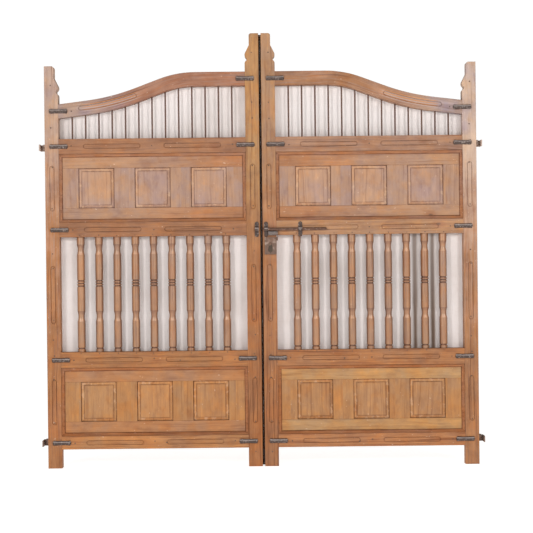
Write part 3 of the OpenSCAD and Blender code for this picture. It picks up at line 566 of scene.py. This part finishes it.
def piece(name, verts, faces, mat, body, sharp):
    """One mesh piece, points in metres in the row frame, riding on a body."""
    mesh = bpy.data.meshes.new(name)
    mesh.from_pydata(verts, [], faces)
    bm = bmesh.new()
    bm.from_mesh(mesh)
    bmesh.ops.recalc_face_normals(bm, faces=bm.faces)
    bm.to_mesh(mesh)
    bm.free()
    mesh.shade_smooth()
    mesh.set_sharp_from_angle(angle=math.radians(sharp))
    mesh.materials.append(mat)
    obj = bpy.data.objects.new(name, mesh)
    bpy.context.scene.collection.objects.link(obj)
    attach(obj, body)
    return obj


# the frame of each leaf: the stiles turn paler towards the top, the outer ones dry and grey
WOODS = {
    "left": {
        "outer_stile": dict(axis="z", tone=(161, 109, 68), far=(171, 144, 131), grade=("z", 0.85, 1.55),
                            weather=0.34),
        "meeting_stile": dict(axis="z", tone=(153, 102, 64), far=(168, 127, 85), grade=("z", 0.75, 1.35),
                              weather=0.10),
        "top_rail": dict(axis="x", tone=(157, 137, 136), far=(143, 94, 69), grade=("u", 0.12, 0.42),
                         weather=0.22, swept=True, streak=1.3),
        "frieze_rail": dict(axis="x", tone=(148, 104, 75), weather=0.12, streak=1.2),
        "lock_rail": dict(axis="x", tone=(145, 100, 69), weather=0.10, streak=1.2),
        "waist_rail": dict(axis="x", tone=(158, 110, 71), weather=0.05, streak=1.1),
        "bottom_rail": dict(axis="x", tone=(167, 118, 77), weather=0.05, streak=1.1),
    },
    "right": {
        "outer_stile": dict(axis="z", tone=(157, 110, 73), far=(180, 160, 155), grade=("z", 0.85, 1.5),
                            weather=0.38),
        "meeting_stile": dict(axis="z", tone=(153, 105, 70), far=(163, 125, 93), grade=("z", 0.9, 1.5),
                              weather=0.16),
        "top_rail": dict(axis="x", tone=(159, 139, 138), far=(146, 102, 70), grade=("u", 0.12, 0.40),
                         weather=0.26, swept=True, streak=1.3),
        "frieze_rail": dict(axis="x", tone=(151, 113, 91), weather=0.20, streak=1.2),
        "lock_rail": dict(axis="x", tone=(161, 122, 92), weather=0.16, streak=1.2),
        "waist_rail": dict(axis="x", tone=(159, 111, 75), weather=0.05, streak=1.1),
        "bottom_rail": dict(axis="x", tone=(167, 116, 78), weather=0.05, streak=1.1),
    },
}
# pitch and start of the pieces that repeat across a leaf, each in a cell of its own
PANEL_CELL = (PANEL_PITCH, PANEL_U - (PANEL_PITCH - PANEL_W) / 2.0)
MUNTIN_CELL = (110.0, 20.0)
BALUSTER_CELL = (BALUSTER_PITCH, BALUSTER_U - BALUSTER_PITCH / 2.0)
# what fills each leaf, the same on both sides apart from the tone of the lower boards
INFILL_WOODS = {
    "upper_boards": dict(axis="x", tone=(162, 127, 105), far=(161, 112, 77), grade=("u", 0.30, 0.80),
                         weather=0.14, crevice_shade=0.75, seam=0.6, knots=0.9, streak=0.6),
    "upper_muntins": dict(axis="z", tone=(163, 133, 120), weather=0.10, crevice_shade=0.75, seam=0.6, streak=0.5,
                          cell=MUNTIN_CELL),
    "upper_panels": dict(axis="z", tone=(169, 138, 125), weather=0.12, crevice_shade=0.75, seam=0.4, streak=0.5,
                         cell=PANEL_CELL, panels=(*UPPER_PANELS, 0.32)),
    "upper_moulding": dict(axis="x", tone=(160, 116, 91), seam=0.35, streak=0.8, knots=0.0, rim=UPPER_ZONE),
    "lower_boards": dict(axis="x", weather=0.04, crevice_shade=0.75, seam=0.6, streak=0.6),
    "lower_muntins": dict(axis="z", tone=(168, 125, 86), weather=0.03, crevice_shade=0.75, seam=0.6, streak=0.5,
                          cell=MUNTIN_CELL),
    "lower_panels": dict(axis="z", tone=(172, 128, 89), weather=0.05, crevice_shade=0.75, seam=0.4, streak=0.6,
                         cell=PANEL_CELL, panels=(*LOWER_PANELS, 0.42), vary=0.5),
    "lower_moulding": dict(axis="x", tone=(160, 110, 77), seam=0.35, streak=0.8, knots=0.0, rim=LOWER_ZONE),
    "balusters": dict(axis="z", tone=(160, 120, 92), weather=0.06, crevice_shade=0.7, seam=0.55, streak=0.8, knots=0.3,
                      cell=BALUSTER_CELL, turned=True, vary=0.8, rough=0.26, gloss=0.8),
}
LOWER_BOARD_TONES = {"left": (166, 120, 85), "right": (174, 136, 95)}
seed = 3
for side in SIDES:
    for table in (WOODS[side], INFILL_WOODS):
        for node, look in table.items():
            seed += 1
            if node == "lower_boards":
                look = {**look, "tone": LOWER_BOARD_TONES[side]}
            dress(f"{side}_{node}", wood(f"{side}_{node}_teak", seed=seed, **look))

# closing laths stand for the closing strips. The slit between them is 0.4 mm in front and 0.1 mm behind,
# which shows less light and still clears the arcs of both leaves. Growth and ends are in metres.
LATH_GROWTH = (0.05 * MM, 0.20 * MM)
LATH_ENDS = (cad_box[0][2] + 2.0 * MM, cad_box[1][2] - 1.5 * MM)
BOX_FACES = [(0, 1, 3, 2), (4, 6, 7, 5), (0, 4, 5, 1), (2, 3, 7, 6), (0, 2, 6, 4), (1, 5, 7, 3)]
# the closing strips' teak is toned far darker than the rest, painted shade for the deep slot between the
# leaves, with strong painted shade in its corners
shaded_strip_wood = wood("closing_strip_shaded_teak", "z", (112, 78, 56), 77, crevice_shade=0.9, seam=0.3, rough=0.75, knots=0.0)
for side in SIDES:
    dress(f"{side}_closing_strip", shaded_strip_wood)
    low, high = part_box(f"{side}_closing_strip")
    corners = []
    for far in (False, True):
        for y, growth in zip((low[1], high[1]), LATH_GROWTH):
            if side == "left":
                x = high[0] + growth if far else low[0]
            else:
                x = high[0] if far else low[0] - growth
            corners += [(x, y, z) for z in LATH_ENDS]
    lath = piece(f"{side}_closing_lath", corners, BOX_FACES, shaded_strip_wood, f"{side}_leaf",
                 WOOD_SHARP)
    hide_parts(f"{side}_closing_strip")

forged = iron("forged_iron", (76, 62, 57), (88, 66, 55), (190, 176, 170),
              rust=0.6, bright=0.45, metal=0.4, ridge=0.55)
hook_iron = iron("hook_iron", (138, 116, 104), (140, 104, 84), (192, 180, 172),
                 rust=0.6, bright=0.5, metal=0.15, hollow_shade=0.3)
# a paler copy of the hook iron for the upper hooks and straps, painted light for stubs set back in the
# stiles' shade
upper_lit_iron = iron("upper_lit_iron", (186, 166, 154), (180, 148, 130), (214, 204, 198),
                rust=0.5, bright=0.5, metal=0.1, hollow_shade=0.2)
bar_iron = iron("bar_iron", (98, 72, 64), (112, 80, 66), (140, 112, 100),
                rust=0.6, bright=0.2, metal=0.2, scale=1.3)
bolt_iron = iron("bolt_iron", (96, 68, 55), (114, 76, 56), (186, 164, 148),
                 rust=0.7, bright=0.6, scale=1.2)
plate_iron = iron("plate_iron", (108, 86, 74), (126, 92, 74), (180, 160, 145),
                  rust=0.7, bright=0.6, metal=0.3, scale=0.36)
cover_iron = iron("cover_iron", (70, 57, 45), (92, 72, 54), (170, 152, 132),
                  rust=0.5, bright=0.3, metal=0.3, scale=0.4)
steel = iron("lock_steel", (118, 108, 104), (136, 98, 80), (182, 176, 172),
             rust=0.35, bright=0.6, metal=0.6, scale=0.6)
nail_iron = iron("nail_iron", (92, 74, 62), (104, 74, 56), (156, 138, 126),
                 rust=0.5, bright=0.3, metal=0.3, scale=2.0)
for side in SIDES:
    dress(f"{side}_bars", bar_iron)
    for fitting in ("strap", "hook"):
        dress(f"{side}_upper_{fitting}", upper_lit_iron)
        dress(f"{side}_lower_{fitting}", hook_iron)
dress("bolt_keeper", forged)
dress("bolt_staples", forged)
dress("bolt_rod", bolt_iron)
dress("lock_plate", plate_iron)
dress("lock_barrel", steel)
dress("keyhole_cover", cover_iron)

# curtains: their reach across a leaf, laps on the rails, mesh grid, thickness and hem,
# then the gap to the leaf, the mean stand-off of the folds and the depth of the creases
CLOTH_EDGE = 43.6
CLOTH_U = (CLOTH_EDGE, LEAF_W - CLOTH_EDGE)
CLOTH_LAP, CLOTH_TRIM = 15.0, 0.6
CLOTH_GRID = (190, 36)
CLOTH_T, HEM_W, HEM_T = 0.7, 11.0, 0.9
CLOTH_GAP, CLOTH_BELLY, CLOTH_CREASE = 0.55, 4.4, 1.2
CLOTH_LOW = {"upper": FRIEZE[1] - CLOTH_LAP, "lower": BALUSTER_Z - CLOTH_LAP}
# folds ease in from a held edge, and keep a share of their depth along the top and bottom
HELD_EDGE, SIDE_EASE, END_EASE, END_SHARE = 12.0, 40.0, 50.0, 0.25
# folds lean to and fro over their height, and creases are a slow noise over u and z
FOLD_LEAN, LEAN_LENGTH, LEAN_TURNS = 0.14, 170.0, 9.0
CREASE_U, CREASE_Z, CREASE_SEED = 90.0, 130.0, 3.1
# folds: each wave's length and share, then their depth
UPPER_FOLDS = ((56.0, 0.45), (131.0, 0.4), (37.0, 0.15)), 2.4
LOWER_FOLDS = ((76.6, 0.4), (173.0, 0.45), (49.0, 0.15)), 3.4
cloth_mat = cotton("cotton_cloth", (235, 228, 226), (211, 201, 196))


def cloth_top(which, u):
    """Height in millimetres of a curtain's top edge."""
    if which == "upper":
        return low_edge(min(max(u, STILE_W), FAR_U)) + CLOTH_LAP
    return BALUSTER_Z + BALUSTER_H + CLOTH_LAP


def curtain(side, which, seed, waves, depth):
    """Cotton tacked to the back of a leaf, lightly gathered into upright folds, hemmed all round."""
    rng = random.Random(seed)
    waves = [(length, share, rng.random(), stray(rng, FOLD_LEAN)) for length, share in waves]
    nu, nz = CLOTH_GRID
    u0, u1 = CLOTH_U
    z_low = CLOTH_LOW[which]
    front, back = [], []
    for j in range(nz + 1):
        for i in range(nu + 1):
            u = u0 + (u1 - u0) * i / nu
            z_top = cloth_top(which, u) - CLOTH_TRIM
            z = z_low + CLOTH_TRIM + (z_top - z_low - CLOTH_TRIM) * j / nz
            side_room = min(u - u0, u1 - u)
            end_room = min(z - z_low, z_top - z)
            fold = 0.0
            for length, share, phase, lean in waves:
                shift = lean * math.sin((z - z_low) / LEAN_LENGTH + phase * LEAN_TURNS)
                fold += share * math.sin(2.0 * math.pi * (u / length + phase + shift))
            crease = noise.noise(Vector((u / CREASE_U, z / CREASE_Z, seed * CREASE_SEED)))
            lift = END_SHARE + (1.0 - END_SHARE) * smooth((end_room - HELD_EDGE) / END_EASE)
            lift *= smooth((side_room - HELD_EDGE) / SIDE_EASE)
            y = BACK + CLOTH_GAP + (CLOTH_BELLY + depth * fold + CLOTH_CREASE * crease) * lift
            y = max(BACK + CLOTH_GAP, y)
            hem = HEM_T if min(side_room, end_room) < HEM_W else 0.0
            front.append((leaf_x(side, u), y * MM, z * MM))
            back.append((leaf_x(side, u), (y + CLOTH_T + hem) * MM, z * MM))
    n = len(front)
    row = nu + 1
    faces = []
    for j in range(nz):
        for i in range(nu):
            a, b, c, d = j * row + i, j * row + i + 1, (j + 1) * row + i + 1, (j + 1) * row + i
            faces += [(a, b, c, d), (n + d, n + c, n + b, n + a)]
    rim = list(range(row)) + [j * row + nu for j in range(1, nz + 1)]
    rim += [nz * row + i for i in range(nu - 1, -1, -1)] + [j * row for j in range(nz - 1, 0, -1)]
    for a, b in zip(rim, rim[1:] + rim[:1]):
        faces.append((a, n + a, n + b, b))
    obj = piece(f"{side}_{which}_cloth", front + back, faces, cloth_mat, f"{side}_leaf",
                CLOTH_SHARP)
    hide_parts(f"{side}_{which}_curtain")


for side, seed in (("left", 11), ("right", 23)):
    curtain(side, "upper", seed, *UPPER_FOLDS)
    curtain(side, "lower", seed + 4, *LOWER_FOLDS)

# rings of a nail head: share of its radius and of its height, from the sunk foot upwards
HEAD_RINGS = ((1.0, -0.25), (1.0, 0.25), (0.86, 0.62), (0.5, 0.92))
HEAD_DENT = 0.10


def dome(verts, faces, at, out, radius, height, rng, ring=10):
    """A hammered nail head, sunk a little in what carries it. out is -1 to the front, 1 to the back."""
    start = len(verts)
    cx, cy, cz = at
    rough = [1.0 + stray(rng, HEAD_DENT) for _ in range(ring)]
    for share, rise in HEAD_RINGS:
        y = cy + out * height * rise
        for k in range(ring):
            a = 2.0 * math.pi * k / ring
            r = radius * share * rough[k]
            verts.append(((cx + r * math.cos(a)) * MM, y * MM, (cz + r * math.sin(a)) * MM))
    verts.append((cx * MM, (cy + out * height) * MM, cz * MM))
    verts.append((cx * MM, (cy + out * height * HEAD_RINGS[0][1]) * MM, cz * MM))
    last = len(HEAD_RINGS) - 1
    for lap in range(last):
        for k in range(ring):
            a, b = start + lap * ring + k, start + lap * ring + (k + 1) % ring
            faces.append((a, b, b + ring, a + ring))
    tip = start + (last + 1) * ring
    for k in range(ring):
        faces.append((start + last * ring + k, start + last * ring + (k + 1) % ring, tip))
        faces.append((start + (k + 1) % ring, start + k, tip + 1))


# a cleat: length, radius at the waist, how much its ends flare, depth of its dents, how far it is let in,
# the share of its radius that it stands out, the share of its half length that rounds off at an end,
# and how blunt that end stays
CLEAT_LEN, CLEAT_R, CLEAT_FLARE, CLEAT_DENT, CLEAT_SINK = 77.0, 8.9, 1.5, 0.75, 0.15
CLEAT_RISE, CLEAT_END, CLEAT_BLUNT = 0.92, 0.12, 0.12
CLEAT_STEPS, CLEAT_SIDES = 30, 12


def forged_cleat(verts, faces, side, u_mid, z_mid, rng):
    """One cleat: a half-round iron strap, waisted and hammered, let into the face of the joint."""
    start = len(verts)
    phase = rng.random() * 50.0
    for i in range(CLEAT_STEPS + 1):
        t = i / CLEAT_STEPS
        x = leaf_x(side, u_mid + CLEAT_LEN * (t - 0.5))
        out = 2.0 * t - 1.0
        past = max(0.0, (abs(out) - 1.0 + CLEAT_END) / CLEAT_END)
        end = math.sqrt(max(CLEAT_BLUNT, 1.0 - past ** 2))
        for k in range(CLEAT_SIDES + 1):
            a = math.pi * k / CLEAT_SIDES
            dent = noise.noise(Vector((t * 7.0 + phase, math.cos(a) * 1.5, phase * 0.3)))
            dent += 0.5 * noise.noise(Vector((t * 19.0 - phase, math.cos(a) * 3.0, phase)))
            r = (CLEAT_R + CLEAT_FLARE * out * out + CLEAT_DENT * dent) * end
            crown = math.sin(a) ** 0.8 if 0 < k < CLEAT_SIDES else 0.0
            y = FRONT + CLEAT_SINK - CLEAT_RISE * r * crown
            verts.append((x, y * MM, (z_mid + r * math.cos(a)) * MM))
    row = CLEAT_SIDES + 1
    for i in range(CLEAT_STEPS):
        a = start + i * row
        for k in range(CLEAT_SIDES):
            faces.append((a + k, a + k + 1, a + k + row + 1, a + k + row))
        faces.append((a, a + row, a + row + CLEAT_SIDES, a + CLEAT_SIDES))
    far = start + CLEAT_STEPS * row
    faces.append(tuple(range(start, start + row)))
    faces.append(tuple(range(far + CLEAT_SIDES, far - 1, -1)))


# the top rail's middle at its outer end and at its crest
SWEEP_END_MID, CREST_MID = 1498.8, CREST_Z + CREST_R - RAIL_H / 2.0
OUTER_CLEATS = (BOTTOM_MID, WAIST_MID, LOCK_MID, FRIEZE_MID, SWEEP_END_MID)
INNER_CLEATS = (BOTTOM_MID, WAIST_MID, FRIEZE_MID, CREST_MID)
# u and z of the pegs in the stiles and in the rails
STILE_PEGS = ((26, 1606), (28, 1427), (28, 900), (28, 541), (29, 470), (27, 1000), (29, 1264),
              (29, 1092), (29, 372), (29, 188), (29, 842), (29, 620), (871, 1262), (871, 1094),
              (871, 842), (871, 620), (871, 372), (871, 188), (869, 1738), (871, 1526), (870, 1461),
              (872, 903), (873, 551), (871, 470), (870, 60))
RAIL_PEGS = ((112, 1350.5), (450, 1351), (786, 1350), (112, 1000), (452, 1001), (786, 999),
             (112, 454), (448, 456), (560, 450), (788, 453), (112, 106.5), (450, 108), (500, 102),
             (785, 106), (112, 1501))
# least and greatest radius, height, and how far each strays in u and z
PEG_R, PEG_H, PEG_STRAY = (2.3, 3.1), 0.9, (2.0, 3.0)
PIN_R, PIN_H, PIN_STRAY = (1.9, 2.6), 0.8, (3.0, 1.5)
PIN_IN = 6.5
BALUSTER_PINS_Z = (LOCK[0] + PIN_IN, WAIST[1] - PIN_IN)
STRAP_NAILS_U, STRAP_T = (22.0, 96.0, 178.0, 262.0), 3.9
# radius and height of the heads that are all alike
STRAP_NAIL, TACK, PLATE_NAIL, STAPLE_NAIL = (5.2, 2.4), (3.4, 1.3), (2.2, 1.2), (2.8, 1.6)
# tacks: along the top and bottom of a cloth, then up its sides, on the back of the hem
TACK_START, TACK_PITCH, TACK_COLUMNS, TACK_UP, TACK_DOWN = 50.0, 80.0, 11, 6.0, 6.5
TACK_EDGE, TACK_STEP, TACK_REST = 49.5, 85.0, 13.0
TACK_EDGES = (TACK_EDGE, LEAF_W - TACK_EDGE)
TACK_Y = BACK + 2.1
IRON_SEEDS = {"left": 41, "right": 43, "lock": 5}
for side in SIDES:
    rng = random.Random(IRON_SEEDS[side])
    verts, faces = [], []
    for z in OUTER_CLEATS:
        forged_cleat(verts, faces, side, STILE_W, z, rng)
    for z in INNER_CLEATS:
        forged_cleat(verts, faces, side, FAR_U, z, rng)
    cleats = piece(f"{side}_forged_cleats", verts, faces, forged, f"{side}_leaf", IRON_SHARP)
    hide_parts(f"{side}_cleats")

    verts, faces = [], []
    for u, z in STILE_PEGS + RAIL_PEGS:
        at = (leaf_x(side, u + stray(rng, PEG_STRAY[0])) / MM, FRONT, z + stray(rng, PEG_STRAY[1]))
        dome(verts, faces, at, -1, rng.uniform(*PEG_R), PEG_H, rng)
    for i in range(BALUSTERS):
        for z in BALUSTER_PINS_Z:
            u = BALUSTER_U + BALUSTER_PITCH * i + stray(rng, PIN_STRAY[0])
            at = (leaf_x(side, u) / MM, FRONT, z + stray(rng, PIN_STRAY[1]))
            dome(verts, faces, at, -1, rng.uniform(*PIN_R), PIN_H, rng)
    for z in (FRIEZE_MID, BOTTOM_MID):
        for u in STRAP_NAILS_U:
            dome(verts, faces, (leaf_x(side, u) / MM, BACK + STRAP_T, z), 1, *STRAP_NAIL, rng, ring=12)
    piece(f"{side}_nails", verts, faces, nail_iron, f"{side}_leaf", IRON_SHARP)

    verts, faces = [], []
    for which in ("lower", "upper"):
        z_low = CLOTH_LOW[which]
        for i in range(TACK_COLUMNS):
            u = TACK_START + TACK_PITCH * i
            for z in (z_low + TACK_UP, cloth_top(which, u) - TACK_DOWN):
                dome(verts, faces, (leaf_x(side, u) / MM, TACK_Y, z), 1, *TACK, rng)
        for u in TACK_EDGES:
            span = cloth_top(which, u) - z_low - 2.0 * TACK_REST
            count = max(1, round(span / TACK_STEP))
            for k in range(1, count + 1):
                z = z_low + TACK_REST + span * k / (count + 1)
                dome(verts, faces, (leaf_x(side, u) / MM, TACK_Y, z), 1, *TACK, rng)
    piece(f"{side}_tacks", verts, faces, nail_iron, f"{side}_leaf", IRON_SHARP)

# row x and z of the nails in the lock plate, in the two staples and in the keeper
PLATE_NAILS = ((17.5, 893.5), (56.5, 894.0), (17.5, 956.0), (56.0, 955.5))
PLATE_T, STAPLE_T = 8.0, 3.0
STAPLE_X, KEEPER_X = (19.5, 163.0), -19.5
STAPLE_NAILS_Z = (968.5, 1020.5)
rng = random.Random(IRON_SEEDS["lock"])
verts, faces = [], []
for x, z in PLATE_NAILS:
    dome(verts, faces, (x, FRONT - PLATE_T, z), -1, *PLATE_NAIL, rng)
for x in STAPLE_X:
    for z in STAPLE_NAILS_Z:
        dome(verts, faces, (x, FRONT - STAPLE_T, z), -1, *STAPLE_NAIL, rng)
piece("lock_nails", verts, faces, nail_iron, "right_leaf", IRON_SHARP)
verts, faces = [], []
for z in STAPLE_NAILS_Z:
    dome(verts, faces, (KEEPER_X, FRONT - STAPLE_T, z), -1, *STAPLE_NAIL, rng)
piece("keeper_nails", verts, faces, nail_iron, "left_leaf", IRON_SHARP)

# studio, in metres: a pale floor, a white surround that only the camera sees, and a soft light
# on either side of the camera
FLOOR_R, FLOOR_DROP, SURROUND_R = 38.0, 0.0004, 40.0


def studio_mesh(name, bm, mat):
    """An object of the studio, made from a bmesh."""
    mesh = bpy.data.meshes.new(name)
    bm.to_mesh(mesh)
    bm.free()
    mesh.materials.append(mat)
    obj = bpy.data.objects.new(name, mesh)
    bpy.context.scene.collection.objects.link(obj)
    return obj


floor_look = Shader("floor_paper")
grit = floor_look.noise(floor_look.place(), scale=14.0, detail=4.0)
paper = floor_look.mix(floor_look.ease(grit, 0.3, 0.7), lin(246, 246, 245), lin(242, 242, 241))
paper_bump = floor_look.node("Bump", {"Strength": 0.05, "Height": grit}).outputs[0]
floor_look.finish(paper, 0.92, paper_bump, Emission_Color=(1.0, 1.0, 1.0, 1.0), Emission_Strength=0.70)
bm = bmesh.new()
bmesh.ops.create_circle(bm, cap_ends=True, segments=96, radius=FLOOR_R)
floor = studio_mesh("studio_floor", bm, floor_look.mat)
floor.location.z = -FLOOR_DROP

surround_look = Shader("surround_white")
glow = surround_look.node("Emission", {"Color": (1.0, 1.0, 1.0, 1.0), "Strength": 1.02})
surround_look.tree.links.new(glow.outputs[0], surround_look.node("OutputMaterial").inputs[0])
bm = bmesh.new()
bmesh.ops.create_icosphere(bm, subdivisions=4, radius=SURROUND_R)
bmesh.ops.reverse_faces(bm, faces=bm.faces)
surround = studio_mesh("studio_surround", bm, surround_look.mat)
surround.visible_diffuse = False
surround.visible_glossy = False
surround.visible_shadow = False
surround.visible_transmission = False

world = bpy.data.worlds.new("studio_world")
bpy.context.scene.world = world
world.use_nodes = True
background = world.node_tree.nodes["Background"]
background.inputs["Color"].default_value = (1.0, 0.995, 0.985, 1.0)
background.inputs["Strength"].default_value = 0.36

LIGHT_AIM = Vector((0.0, 0.0, 0.9))
LIGHT_X, LIGHT_Y, LIGHT_Z = 2.75, -4.9, 2.1
for name, x, power in (("softbox_left", -LIGHT_X, 94.0), ("softbox_right", LIGHT_X, 88.0)):
    data = bpy.data.lights.new(name, "AREA")
    data.shape = "RECTANGLE"
    data.size = 0.8
    data.size_y = 1.0
    data.energy = power
    data.color = (1.0, 0.985, 0.965)
    softbox = bpy.data.objects.new(name, data)
    at = Vector((x, LIGHT_Y, LIGHT_Z))
    softbox.location = at
    softbox.rotation_euler = (LIGHT_AIM - at).to_track_quat("-Z", "Y").to_euler()
    bpy.context.scene.collection.objects.link(softbox)

view = bpy.context.scene.view_settings
view.view_transform = "Standard"
view.look = "None"
view.exposure = 0.0
view.gamma = 1.0

CAMERA_AT = (0.0195, -6.02, 0.8636)
CAMERA_PITCH, CAMERA_ROLL = math.radians(89.758), math.radians(-0.638)
camera_data = bpy.data.cameras.new("camera")
camera_data.sensor_width = 36.0
camera_data.lens = 96.56
camera = bpy.data.objects.new("camera", camera_data)
bpy.context.scene.collection.objects.link(camera)
camera.matrix_world = (Matrix.Translation(CAMERA_AT) @ Matrix.Rotation(CAMERA_PITCH, 4, "X")
                       @ Matrix.Rotation(CAMERA_ROLL, 4, "Z"))
bpy.context.scene.camera = camera
